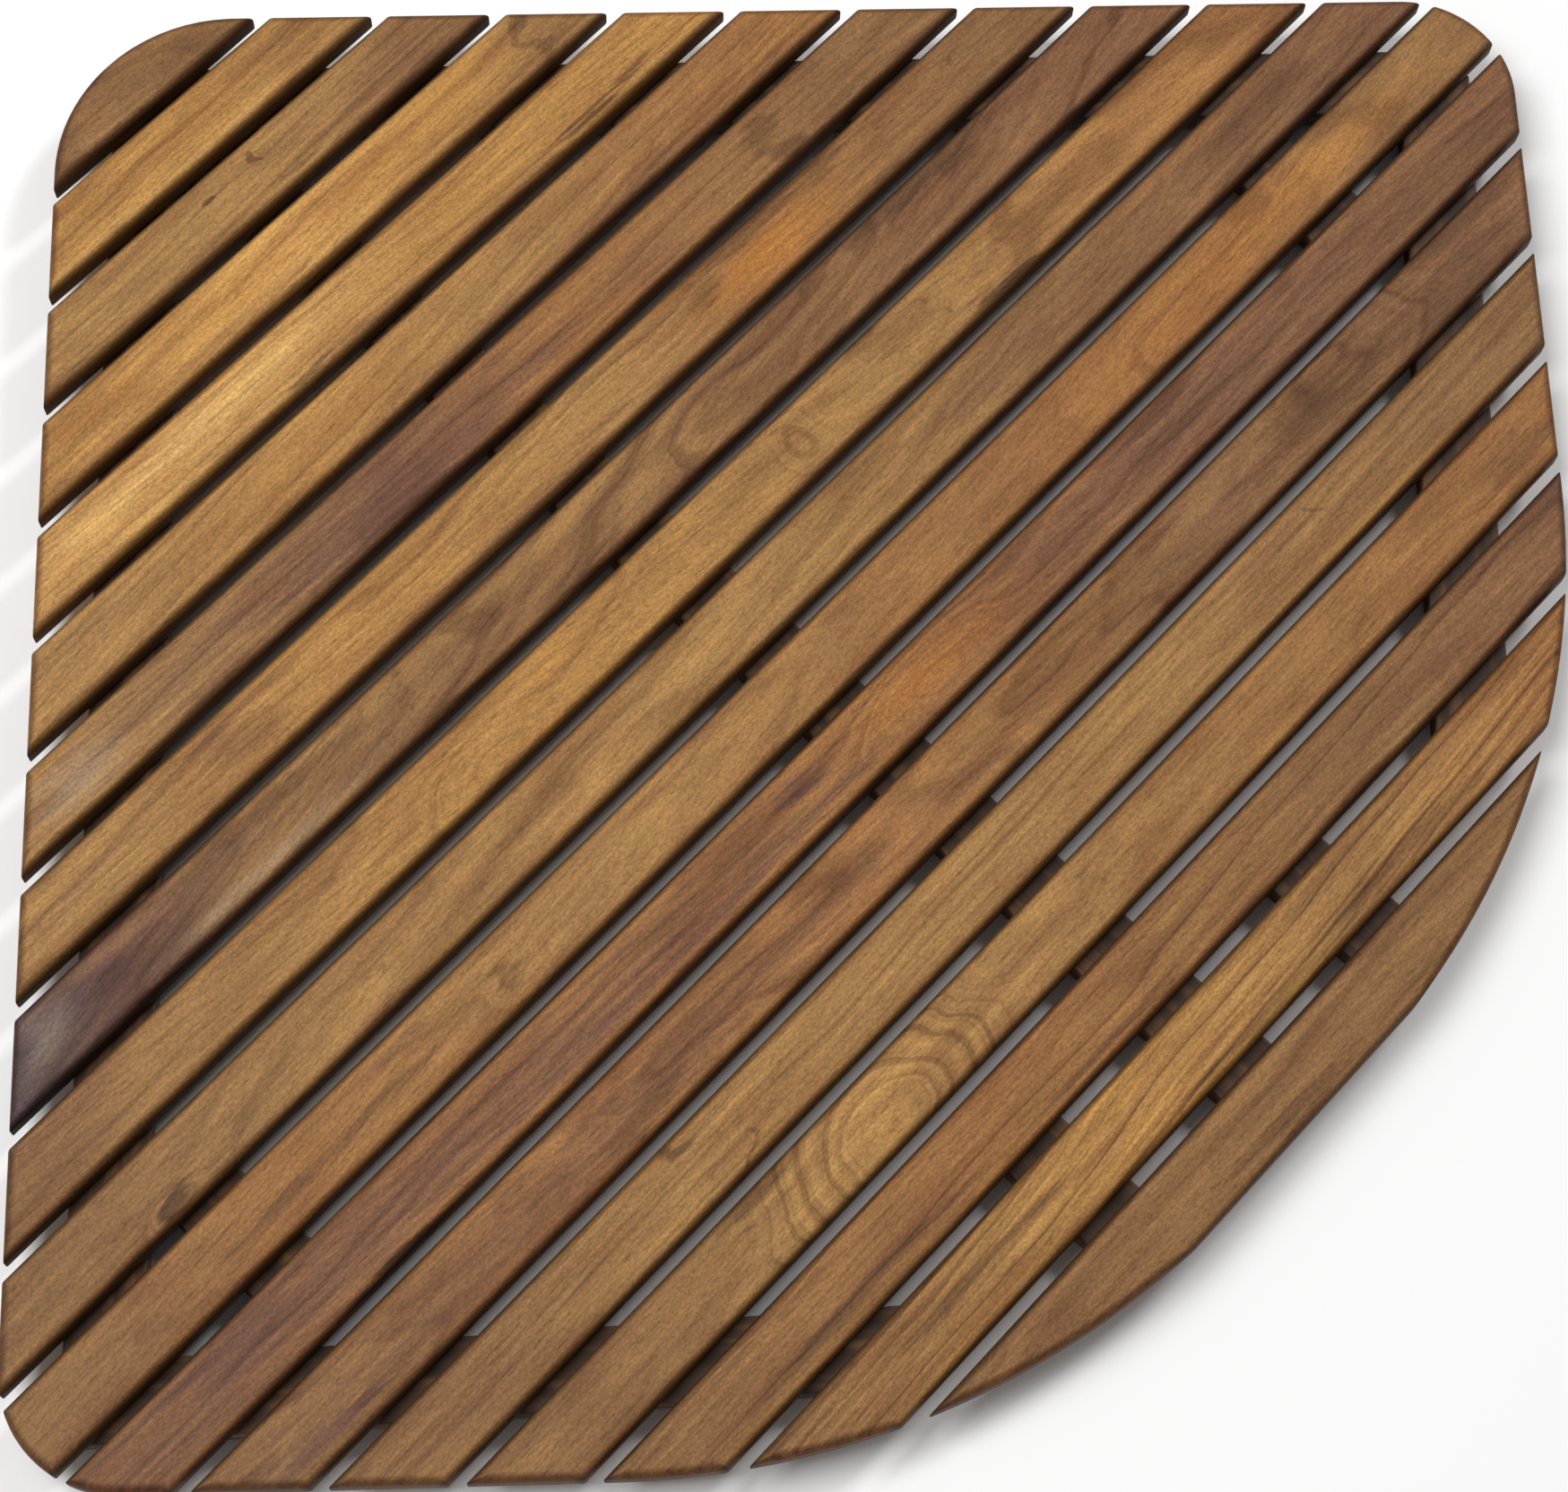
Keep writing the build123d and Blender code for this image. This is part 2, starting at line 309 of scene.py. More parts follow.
# %% Helpers for colours and nodes
def linear(hex_colour):
    """The linear colour of an sRGB hex value, as red, green, blue and full opacity."""
    parts = np.array([int(hex_colour[i:i + 2], 16) for i in (1, 3, 5)]) / 255
    parts = np.where(parts <= 0.04045, parts / 12.92, ((parts + 0.055) / 1.055) ** 2.4)
    return (*parts.tolist(), 1.0)


def add_node(tree, kind, settings=None, **sockets):
    """Add a node. Settings are its properties; sockets are values, or outputs to link from.

    A socket is named by its label with spaces as underscores, or as in_0, in_1 by its position.
    """
    node = tree.nodes.new(kind)
    for name, value in (settings or {}).items():
        setattr(node, name, value)
    for name, value in sockets.items():
        if name.startswith("in_"):
            socket = node.inputs[int(name[3:])]
        else:
            socket = node.inputs[name.replace("_", " ")]
        if isinstance(value, bpy.types.NodeSocket):
            tree.links.new(value, socket)
        else:
            socket.default_value = value
    return node


def set_stops(ramp_node, stops):
    """Give a colour ramp its stops, as (position, colour) pairs in order."""
    ramp = ramp_node.color_ramp
    ramp.interpolation = "LINEAR"
    while len(ramp.elements) < len(stops):
        ramp.elements.new(1.0)
    for element, (position, colour) in zip(ramp.elements, stops):
        element.position = position
        element.color = colour


def empty_material(name):
    """A new material and its node tree, with every node taken out."""
    material = bpy.data.materials.new(name)
    material.use_nodes = True
    material.node_tree.nodes.clear()
    return material, material.node_tree


MULTIPLIED = {"data_type": "RGBA", "blend_type": "MULTIPLY"}  # a Mix node that tints
PLACED = {"vector_type": "TEXTURE"}  # a Mapping node that counts from a place, turned and scaled
print("half grey in linear light:", round(linear("#808080")[0], 3))

# %% [markdown]
# ## A palette of teak tones
# The slats were sawn from different planks, but they are one timber. Giving every board free
# colours would soon drift away from teak. So there is one short list of tones, as a stainer would
# mix them, and each board asks for the tones it needs by name.

# %% The palette
TEAK = {
    "straw": "#d8b070",  # the palest heartwood
    "gold": "#c09458",
    "amber": "#c08038",  # resin-rich and orange
    "honey": "#ac8048",
    "tan": "#a0794a",
    "russet": "#986b40",
    "nut": "#8a6642",
    "chestnut": "#825c40",
    "plum": "#6c4c42",  # mineral streaks
    "umber": "#5c4028",
    "slate": "#5c4c50",
    "bark": "#483020",
    "painted_sheen": "#c8b8a0",  # painted sheen: pale glare off the oil film
}
print("tones:", ", ".join(TEAK))

# %% [markdown]
# ## Oiled teak
# Teak is a golden brown hardwood. These boards were planed, sanded and oiled, which gives them a
# satin film that hides no grain. The eye reads four things:
# - fibres and pores. Fine light and dark streaks run along the board, with short dark dashes.
# - growth rings. A board cuts through the rings of a tree, so the figure comes from the distance
#   to the tree's heart. A heart that runs nearly along the board gives straight lines, and a heart
#   that dips under it gives pointed arches.
# - colour zones. One board goes from gold to red-brown or purple-brown along its length.
# - marks: knots, swirls where the rings bulge, and streaks.
# Boards could be wrapped in pictures of wood, but every end would then show a stretched edge.
# Noise in the solid of the wood runs on over the edges and ends, as real grain does.
#
# The grain comes first. Each pattern is a noise that is stretched along the board, so it needs
# only its real length and width.

# %% Sizes of the grain
GRAINS = {  # mm along and across the grain, and how far a seed shifts the noise on each axis
    "wander": dict(along=130.0, across=26.0, steps=(2.3, 4.1, 1.7), Detail=2.0, Roughness=0.45),
    # real fibres are too fine to show, so they are drawn coarser
    "fibres": dict(along=60.0, across=1.5, steps=(3.7, 11.3, 5.1), Detail=3.0, Roughness=0.62),
    # real pores are about 0.2 mm across, so they are drawn coarser
    "pores": dict(along=9.0, across=0.9, steps=(1.9, 7.7, 2.3), Detail=1.0, Roughness=0.5),
    # streaks also break up the edges of marks
    "streaks": dict(along=45.0, across=3.5, steps=(6.1, 3.3, 8.9), Detail=4.0, Roughness=0.7),
    # golden and red-brown zones of the heartwood
    "zones": dict(
        along=75.0, across=13.0, steps=(4.7, 9.1, 2.9), Detail=2.0, Roughness=0.5, Distortion=0.4
    ),
    # sanded fibre ends, drawn coarser than the 0.3 mm of the real ones
    "speckle": dict(
        along=1.1 / 0.6, across=1.1, steps=(0.0, 0.0, 0.0), Detail=2.0, Roughness=0.7
    ),
}
GRAIN_TURN = 2.5  # fibres lie this many times further off the board's line than its rings do
FIBRE_HEIGHT = 0.12  # mm that fibres stand above the open pores


def stretched_noise(tree, place, seed, along, across, steps, **look):
    """Noise stretched along the grain: the place divided by the pattern's length and width."""
    stretched = add_node(
        tree, "ShaderNodeMapping", Vector=place, Location=tuple(seed * step for step in steps),
        Scale=(1 / along, 1 / across, 1 / across),
    ).outputs[0]
    return add_node(
        tree, "ShaderNodeTexNoise", Vector=stretched, Scale=1.0, **look
    ).outputs["Fac"]


print("grain patterns:", ", ".join(GRAINS))

# %% [markdown]
# ### Growth rings
# On the real board the rings are the tree's, cut open by the saw. A wave of the distance to the
# heart would give even stripes. A noise that depends only on that distance gives broad and fine
# lines that still follow one figure. Where the trunk swelled round a knot, the distance gets a
# soft bump, and the rings flow round it.

# %% Growth rings
RING_WANDER = 3.5  # rings that the slow wander moves the figure by
BULGE_DEPTH = 60.0  # mm; deeper than the board, so a bulge runs right through it


def growth_rings(tree, on_board, wander, rings, bulges):
    """A value that is the same all along one growth ring.

    It is noise of the distance to the heart's line divided by the ring spacing, plus the wander,
    plus each bulge's rings times a smooth step down from its middle to its rim.
    """
    spacing, heart_y, heart_z, turn, dip = rings
    from_heart = add_node(
        tree, "ShaderNodeMapping", PLACED, Vector=on_board,
        Location=(0.0, heart_y, heart_z), Rotation=(0.0, np.radians(dip), np.radians(turn)),
    ).outputs[0]
    flat_heart = add_node(
        tree, "ShaderNodeVectorMath", {"operation": "MULTIPLY"}, in_0=from_heart,
        in_1=(0.0, 1 / spacing, 1 / spacing),
    ).outputs[0]
    ring = add_node(
        tree, "ShaderNodeVectorMath", {"operation": "LENGTH"}, in_0=flat_heart
    ).outputs["Value"]
    ring = add_node(
        tree, "ShaderNodeMath", {"operation": "MULTIPLY_ADD"}, in_0=wander, in_1=RING_WANDER,
        in_2=ring,
    ).outputs[0]
    for along, across, half_length, half_wide, added in bulges:
        inside = add_node(
            tree, "ShaderNodeMapping", PLACED, Vector=on_board, Location=(along, across, 0.0),
            Scale=(half_length, half_wide, BULGE_DEPTH),
        ).outputs[0]
        radius = add_node(
            tree, "ShaderNodeVectorMath", {"operation": "LENGTH"}, in_0=inside
        ).outputs["Value"]
        lift = add_node(
            tree, "ShaderNodeMapRange", {"interpolation_type": "SMOOTHERSTEP"}, Value=radius,
            From_Min=0.0, From_Max=1.0, To_Min=added, To_Max=0.0,
        ).outputs[0]
        ring = add_node(
            tree, "ShaderNodeMath", {"operation": "ADD"}, in_0=ring, in_1=lift
        ).outputs[0]
    return add_node(
        tree, "ShaderNodeTexNoise", {"noise_dimensions": "1D"}, W=ring, Scale=1.0, Detail=3.0,
        Roughness=0.6,
    ).outputs["Fac"]


print("the slow wander moves the figure by up to", RING_WANDER / 2, "rings either way")

# %% [markdown]
# ### Colour along a board, and its marks
# A real board changes tone slowly along its length, so a colour ramp with a few stops is enough.
# Knots, stains and dark bands could be painted as an image, but a soft ellipse for each one is
# easier to move. Its edge is pulled about by the streaks, so it frays along the grain.

# %% Colour and marks
HALF_LENGTH = 520.0  # the ramps along a board run from minus this to plus this, in mm
MARK_DEPTH = 40.0  # mm; deeper than the board, so a mark runs right through it
RAGGED = 2.2  # how far the streaks pull the edge of a mark
MARK_EDGE = 2.35  # where a mark ends, counting the pull of the streaks


def board_colour(tree, pulled, streaks, stops, marks):
    """The ramp of tones along a board, then each mark mixed over it.

    A mark covers by a smooth step down of (distance from its middle, as a share of its size, plus
    the pull of the streaks), and a softer mark starts to fade nearer its middle.
    """
    along_board = add_node(tree, "ShaderNodeSeparateXYZ", Vector=pulled).outputs["X"]
    along_share = add_node(
        tree, "ShaderNodeMapRange", Value=along_board, From_Min=-HALF_LENGTH,
        From_Max=HALF_LENGTH,
    ).outputs[0]
    tone = add_node(tree, "ShaderNodeValToRGB", Fac=along_share)
    set_stops(
        tone, [((x + HALF_LENGTH) / (2 * HALF_LENGTH), linear(TEAK[c])) for x, c in stops]
    )
    colour = tone.outputs["Color"]
    for along, across, half_length, half_wide, mark_tone, strength, softness in marks:
        inside = add_node(
            tree, "ShaderNodeMapping", PLACED, Vector=pulled, Location=(along, across, 0.0),
            Scale=(half_length, half_wide, MARK_DEPTH),
        ).outputs[0]
        radius = add_node(
            tree, "ShaderNodeVectorMath", {"operation": "LENGTH"}, in_0=inside
        ).outputs["Value"]
        frayed = add_node(
            tree, "ShaderNodeMath", {"operation": "MULTIPLY_ADD"}, in_0=streaks, in_1=RAGGED,
            in_2=radius,
        ).outputs[0]
        cover = add_node(
            tree, "ShaderNodeMapRange", {"interpolation_type": "SMOOTHSTEP"}, Value=frayed,
            From_Min=MARK_EDGE + softness / 3, From_Max=MARK_EDGE - softness, To_Min=0.0,
            To_Max=strength,
        ).outputs[0]
        colour = add_node(
            tree, "ShaderNodeMix", {"data_type": "RGBA"}, Factor=cover, in_6=colour,
            in_7=linear(TEAK[mark_tone]),
        ).outputs[2]
    return colour


print("a ramp covers", 2 * HALF_LENGTH, "mm of board")

# %% [markdown]
# ### Tints
# Rings, fibres, streaks and zones make the wood lighter or darker and a little redder or
# yellower. They could each have colours of their own, but then every board would need a new set.
# So they multiply the board's colour instead. A tint is a set of factors for red, green and blue,
# not a colour, and above one it lightens.

# %% Tints
TINTS = {  # how strongly the tint is mixed in, and its factors from dark to light
    "rings": (0.75, [
        (0.28, (0.50, 0.42, 0.37, 1)), (0.42, (0.84, 0.80, 0.77, 1)),
        (0.52, (1.0, 1.0, 1.0, 1)), (0.70, (1.22, 1.22, 1.16, 1)),
    ]),
    "fibres": (0.5, [
        (0.30, (0.66, 0.60, 0.55, 1)), (0.47, (0.97, 0.96, 0.95, 1)),
        (0.70, (1.22, 1.22, 1.18, 1)),
    ]),
    "streaks": (0.45, [
        (0.30, (0.62, 0.57, 0.52, 1)), (0.50, (1.0, 1.0, 1.0, 1)),
        (0.70, (1.32, 1.28, 1.18, 1)),
    ]),
    "zones": (0.55, [
        (0.32, (0.74, 0.61, 0.60, 1)), (0.50, (1.0, 0.98, 0.98, 1)),
        (0.68, (1.25, 1.27, 1.15, 1)),
    ]),
    "speckle": (1.0, [(0.3, (0.72, 0.70, 0.66, 1)), (0.7, (1.24, 1.22, 1.18, 1))]),
}
PORE_TINT = (0.42, 0.34, 0.28, 1)
EDGE_SHADE_TINT = (0.30, 0.26, 0.22, 1)  # painted shade on the rounded long edges, where they curve away from the light
END_TINT = (0.50, 0.42, 0.36, 1)  # cut ends drink more oil


def tinted(tree, colour, patterns, covers):
    """The colour times each pattern's tint, then times a dark tint wherever a cover lies."""
    for title, (pattern, strength) in patterns.items():
        share, stops = TINTS[title]
        tint = add_node(tree, "ShaderNodeValToRGB", Fac=pattern)
        set_stops(tint, stops)
        colour = add_node(
            tree, "ShaderNodeMix", MULTIPLIED, Factor=min(1.0, share * strength), in_6=colour,
            in_7=tint.outputs["Color"],
        ).outputs[2]
    for cover, dark in covers:
        colour = add_node(
            tree, "ShaderNodeMix", MULTIPLIED, Factor=cover, in_6=colour, in_7=dark
        ).outputs[2]
    return colour


print("tints:", ", ".join(TINTS))

# %% [markdown]
# ### The whole board
# One function now puts the parts together. It makes a material for each board rather than one for
# all, because the heart's place, the marks and the bulges differ and can't be read from a seed.
# The surface is nearly matte: oil soaks in and leaves a roughness of about 0.6, and the raised
# fibres and open pores are a bump of about a tenth of a millimetre.

# %% The teak material
PULL = (90.0, 9.0, 0.0)  # mm that the wander pulls tones and marks along and across the board
PORE_SHARE = 0.5  # how dark a pore is drawn
PORE_SINK = -0.6  # a pore's depth against a fibre's height


def oiled_teak(name, middle_y, seed, stops, rings, marks=(), bulges=(), fibre=1.0):
    """A board of oiled teak. All lengths are in mm, counted from the board's middle.

    stops: (place along the board, tone).
    rings: ring spacing, heart's place across, heart's depth below the board, heart's turn in
    degrees seen from above, heart's dip in degrees, strength.
    marks: (along, across, half length, half width, tone, strength, softness).
    bulges: (along, across, half length, half width, rings added at the middle).
    fibre: how strong the fibres are.
    """
    *figure, ring_strength = rings
    material, tree = empty_material(name)
    place = add_node(tree, "ShaderNodeTexCoord").outputs["Object"]
    on_board = add_node(
        tree, "ShaderNodeMapping", PLACED, Vector=place,
        Location=(0.0, middle_y * MM, SLAT_MIDDLE * MM), Scale=(MM, MM, MM),
    ).outputs[0]
    on_grain = add_node(
        tree, "ShaderNodeMapping", Vector=on_board,
        Rotation=(0.0, 0.0, np.radians(-GRAIN_TURN * figure[3])),
    ).outputs[0]

    # a slow wander pulls the tones and marks about
    wander = stretched_noise(tree, on_board, seed, **GRAINS["wander"])
    wander = add_node(
        tree, "ShaderNodeMath", {"operation": "SUBTRACT"}, in_0=wander, in_1=0.5
    ).outputs[0]
    pulled = add_node(
        tree, "ShaderNodeVectorMath", {"operation": "MULTIPLY_ADD"}, in_0=wander, in_1=PULL,
        in_2=on_board,
    ).outputs[0]

    # the patterns, and where the dark covers lie
    ring_tone = growth_rings(tree, on_board, wander, figure, bulges)
    fibres = stretched_noise(tree, on_grain, seed, **GRAINS["fibres"])
    pores = stretched_noise(tree, on_grain, seed, **GRAINS["pores"])
    pores = add_node(
        tree, "ShaderNodeMapRange", Value=pores, From_Min=0.6, From_Max=0.72,
    ).outputs[0]
    streaks = stretched_noise(tree, on_grain, seed, **GRAINS["streaks"])
    zones = stretched_noise(tree, on_board, seed, **GRAINS["zones"])
    speckle = stretched_noise(tree, on_board, seed, **GRAINS["speckle"])
    pore_cover = add_node(
        tree, "ShaderNodeMath", {"operation": "MULTIPLY"}, in_0=pores, in_1=PORE_SHARE
    ).outputs[0]
    # the rounded long edges are darkened, a painted shade where they curve away from the light
    round_edge = add_node(
        tree, "ShaderNodeAttribute", {"attribute_name": "long_edge"}
    ).outputs["Fac"]
    edge_shade_cover = add_node(
        tree, "ShaderNodeMapRange", {"interpolation_type": "SMOOTHSTEP"}, Value=round_edge,
        From_Min=0.15, From_Max=0.9, To_Min=0.0, To_Max=1.0,
    ).outputs[0]
    cut_end = add_node(
        tree, "ShaderNodeAttribute", {"attribute_name": "end_grain"}
    ).outputs["Fac"]

    colour = board_colour(tree, pulled, streaks, stops, marks)
    patterns = {
        "rings": (ring_tone, ring_strength), "fibres": (fibres, fibre), "streaks": (streaks, 1.0),
        "zones": (zones, 1.0), "speckle": (speckle, 1.0),
    }
    covers = [(pore_cover, PORE_TINT), (edge_shade_cover, EDGE_SHADE_TINT), (cut_end, END_TINT)]
    colour = tinted(tree, colour, patterns, covers)

    # raised fibres, open pores and a satin oil film
    height = add_node(
        tree, "ShaderNodeMath", {"operation": "MULTIPLY_ADD"}, in_0=pores, in_1=PORE_SINK,
        in_2=fibres,
    ).outputs[0]
    bump = add_node(
        tree, "ShaderNodeBump", Strength=0.35, Distance=FIBRE_HEIGHT * MM, Height=height
    ).outputs[0]
    gloss = add_node(
        tree, "ShaderNodeMapRange", Value=ring_tone, From_Min=0.3, From_Max=0.7,
        To_Min=0.54, To_Max=0.66,
    ).outputs[0]
    wood = add_node(
        tree, "ShaderNodeBsdfPrincipled", Base_Color=colour, Roughness=gloss, Normal=bump,
        IOR=1.45, Specular_IOR_Level=0.25,
    )
    add_node(tree, "ShaderNodeOutputMaterial", Surface=wood.outputs[0])
    return material


print("a pore is drawn", PORE_SHARE, "as dark as its tint")

# %% [markdown]
# ## Nineteen boards
# The slats were sawn from different planks, so each one has its own colours, rings and marks. One
# material with random shifts would make them all alike, so each board is written down instead.
# They are listed from the wall corner outwards. Places along a board are in mm from its middle,
# and places across it are in mm towards the wall corner.

# %% The boards
boards = {
    1: dict(stops=[(-60, "nut"), (60, "nut")], rings=(5, -20, -70, -1, 4, 0.8)),
    2: dict(
        stops=[(-80, "honey"), (20, "honey"), (100, "tan")],
        rings=(4.5, 60, -40, 1, 1.5, 0.7),
        marks=[(-30, -14, 120, 2.5, "gold", 0.7, 0.5), (60, 6, 40, 3, "nut", 0.4, 0.5)],
    ),
    3: dict(
        stops=[(-100, "tan"), (50, "tan"), (130, "nut")],
        rings=(3.6, 70, -40, 0.8, 1, 0.8),
        marks=[
            (-15, 6, 5, 1.4, "umber", 0.8, 0.3), (13, 8, 1.4, 4, "umber", 0.7, 0.3),
            (30, -13, 16, 1.6, "umber", 0.5, 0.5), (108, -4, 30, 9, "chestnut", 0.4, 0.6),
        ],
    ),
    4: dict(
        stops=[(-160, "honey"), (0, "gold"), (100, "honey"), (160, "tan")],
        rings=(7, 80, -60, 1, 1, 0.5),
        marks=[
            (0, 4, 130, 14, "amber", 0.25, 1.2), (-100, -13, 95, 5, "russet", 0.5, 0.8),
            (157, 0, 4, 22, "umber", 0.5, 0.6),
            (165, 10, 6, 6, "umber", 0.6, 0.4), (185, -3, 25, 20, "nut", 0.4, 0.8),
        ],
    ),
    5: dict(
        stops=[(-200, "gold"), (-60, "gold"), (60, "honey"), (200, "honey")],
        rings=(3.8, 60, -40, -1.5, 2, 0.9),
        marks=[
            (-130, 3, 100, 6, "straw", 0.6, 0.9), (-215, 12, 26, 12, "tan", 0.5, 0.8),
            (0, -16, 130, 4, "nut", 0.5, 0.7), (150, -11, 30, 1.2, "umber", 0.7, 0.4),
            (185, -9, 14, 1.2, "umber", 0.6, 0.4), (140, -15, 16, 1.2, "umber", 0.6, 0.4),
            (-40, -13, 12, 1.2, "umber", 0.5, 0.4),
        ],
    ),
    6: dict(
        stops=[(-220, "tan"), (-80, "honey"), (60, "tan"), (220, "russet")],
        rings=(4.5, 90, -30, 2.5, 0.5, 0.7),
        marks=[
            (80, -16, 170, 6, "chestnut", 0.5, 0.8), (-60, 14, 180, 6, "gold", 0.35, 0.8),
            (165, -9, 14, 6, "chestnut", 0.45, 0.6),
        ],
    ),
    7: dict(
        stops=[(-280, "tan"), (-200, "tan"), (-60, "chestnut"), (60, "russet"), (260, "nut")],
        rings=(4, 70, -50, -1, 1, 0.8),
        marks=[
            # the pale mark at the left end is a painted sheen of glare off the oil
            (-288, -2, 20, 12, "painted_sheen", 0.35, 1.2), (-210, 0, 100, 16, "plum", 0.4, 1.2),
            (-60, -6, 80, 9, "plum", 0.6, 0.8), (-90, 9, 110, 7, "plum", 0.3, 0.8),
            (212, 4, 10, 10, "umber", 0.5, 0.6), (218, -11, 10, 5, "umber", 0.55, 0.5),
            (130, -5, 60, 10, "chestnut", 0.5, 0.8),
        ],
    ),
    8: dict(
        stops=[(-300, "tan"), (-120, "honey"), (40, "tan"), (160, "russet"), (320, "nut")],
        rings=(4.4, 45, -60, -1.5, 2.5, 0.9),
        marks=[
            (162, -3, 40, 12, "amber", 0.6, 1.2), (160, 14, 30, 6, "umber", 0.6, 0.6),
            (118, 6, 12, 8, "umber", 0.45, 0.8), (205, 10, 14, 6, "umber", 0.5, 0.8),
            (-204, 2, 15, 16, "chestnut", 0.45, 0.8), (-305, 1, 28, 2, "chestnut", 0.5, 0.5),
            (-60, -16, 90, 1.6, "chestnut", 0.5, 0.5), (28, -10, 20, 2, "umber", 0.4, 0.5),
            (210, -14, 36, 1.6, "umber", 0.4, 0.5),
        ],
    ),
    9: dict(
        stops=[(-400, "slate"), (-330, "plum"), (-240, "nut"), (0, "nut"), (380, "chestnut")],
        rings=(4.6, 20, -55, 3, 5, 1.0),
        marks=[
            (-384, 2, 30, 12, "slate", 0.6, 1.2), (-340, -8, 70, 12, "bark", 0.4, 0.9),
            (240, 14, 62, 6, "bark", 0.6, 0.7), (270, 8, 14, 5, "umber", 0.6, 0.6),
            (-150, 12, 180, 5, "tan", 0.6, 0.9), (60, -4, 40, 8, "tan", 0.5, 0.9),
            # the pale marks along the lower edge and at the left end are painted sheen of glare off
            # the oil
            (-230, 8, 60, 4, "umber", 0.5, 0.7), (-235, -11, 60, 4, "painted_sheen", 0.18, 1.0),
            (-385, 2, 16, 9, "painted_sheen", 0.2, 1.0),
        ],
        bulges=[(70, 2, 60, 26, 1.5)],
    ),
    10: dict(
        stops=[(-420, "nut"), (-300, "tan"), (-100, "honey"), (150, "tan"), (400, "russet")],
        rings=(6.5, 10, -50, -2, 5, 0.8),
        marks=[
            (232, -15, 26, 1.5, "bark", 0.7, 0.5), (152, 17, 16, 3, "umber", 0.5, 0.6),
            (-395, 8, 50, 9, "chestnut", 0.5, 0.8), (165, 4, 20, 10, "nut", 0.3, 0.8),
        ],
        bulges=[(-135, -8, 60, 24, 3.5), (90, 4, 26, 30, 2.5)],
    ),
    11: dict(
        stops=[(-440, "nut"), (-200, "tan"), (60, "tan"), (200, "nut"), (460, "chestnut")],
        rings=(5.2, 30, -70, 1, 3.5, 0.7),
        marks=[
            (-390, -12, 9, 4.5, "bark", 0.75, 0.7), (200, 0, 50, 10, "chestnut", 0.5, 0.9),
            (395, 0, 50, 12, "umber", 0.4, 0.9), (350, 12, 70, 3, "russet", 0.5, 0.7),
        ],
        bulges=[(-390, -12, 26, 10, 3)],
    ),
    12: dict(
        stops=[(-480, "nut"), (-350, "russet"), (-150, "tan"), (200, "russet"), (480, "nut")],
        rings=(8, -5, -60, 2, 6, 0.7),
        marks=[
            (-330, -4, 60, 2.5, "umber", 0.5, 0.7), (-268, 10, 24, 4, "chestnut", 0.6, 0.7),
            (-205, -2, 8, 7, "umber", 0.5, 0.7), (160, 2, 50, 10, "chestnut", 0.5, 0.9),
            (235, 3, 30, 3, "chestnut", 0.6, 0.6), (30, 4, 26, 10, "chestnut", 0.3, 0.9),
            (340, 0, 150, 16, "amber", 0.35, 1.2),
        ],
        bulges=[(-200, -4, 30, 18, 2), (290, -6, 90, 22, 1.5)],
    ),
    13: dict(
        stops=[
            (-440, "chestnut"), (-260, "russet"), (0, "russet"), (240, "chestnut"), (460, "chestnut"),
        ],
        rings=(5, 55, -60, -1.5, 2.5, 0.9),
        marks=[
            (-260, 0, 190, 16, "plum", 0.65, 1.2), (190, 0, 140, 15, "plum", 0.5, 1.2),
            (-325, -17, 30, 3, "bark", 0.8, 0.7), (50, 2, 46, 10, "amber", 0.5, 1.2),
            (-48, 4, 14, 6, "plum", 0.6, 0.8), (260, -2, 90, 2, "umber", 0.6, 0.6),
            (440, -4, 70, 12, "umber", 0.4, 1.0), (-420, 4, 30, 8, "plum", 0.6, 0.8),
            (-130, -10, 110, 4, "plum", 0.5, 0.8),
        ],
        bulges=[(45, 0, 70, 24, 3)],
    ),
    14: dict(
        stops=[(-420, "nut"), (-250, "russet"), (-60, "russet"), (220, "nut"), (420, "chestnut")],
        rings=(9, 4, -55, -1, -6, 1.2),
        marks=[
            (-230, -2, 230, 15, "plum", 0.45, 1.2), (200, 0, 60, 14, "plum", 0.4, 1.2),
            (-418, -9, 30, 4, "plum", 0.7, 0.7), (290, 0, 34, 12, "umber", 0.45, 0.5),
            (385, -6, 56, 10, "umber", 0.4, 0.5), (405, 13, 50, 5, "bark", 0.4, 0.7),
            (-215, -9, 20, 5, "umber", 0.5, 0.7), (110, 4, 110, 5, "tan", 0.5, 0.9),
        ],
        bulges=[(310, 2, 90, 40, 1.8)],
    ),
    15: dict(
        stops=[(-350, "nut"), (-200, "tan"), (100, "tan"), (360, "nut")],
        rings=(3.4, 80, -40, 0.6, 0.6, 0.7),
        marks=[
            (-210, 13, 5, 4, "umber", 0.7, 0.6), (-185, -12, 2, 5, "umber", 0.5, 0.5),
            (200, 8, 26, 5, "chestnut", 0.35, 0.6), (230, 7, 2, 5, "umber", 0.45, 0.5),
            (300, -14, 80, 2, "honey", 0.5, 0.7),
        ],
    ),
    16: dict(
        stops=[(-320, "nut"), (-180, "tan"), (-40, "tan"), (320, "russet")],
        rings=(9, 30, -80, 0.5, 1, 1.0),
        marks=[
            (-136, 2, 34, 14, "gold", 0.6, 1.0), (-210, 15, 20, 4, "umber", 0.5, 0.7),
            (330, -6, 22, 12, "umber", 0.4, 0.8),
        ],
        bulges=[(-136, -2, 105, 75, 9)],
    ),
    17: dict(
        stops=[(-300, "nut"), (-100, "russet"), (180, "nut"), (300, "chestnut"), (350, "plum")],
        rings=(3.2, 40, -50, -1, 2, 1.1),
        marks=[(-200, -8, 70, 3, "umber", 0.6, 0.7), (-40, -13, 50, 2, "umber", 0.5, 0.6)],
    ),
    18: dict(
        stops=[(-280, "nut"), (-40, "honey"), (100, "tan"), (280, "russet")],
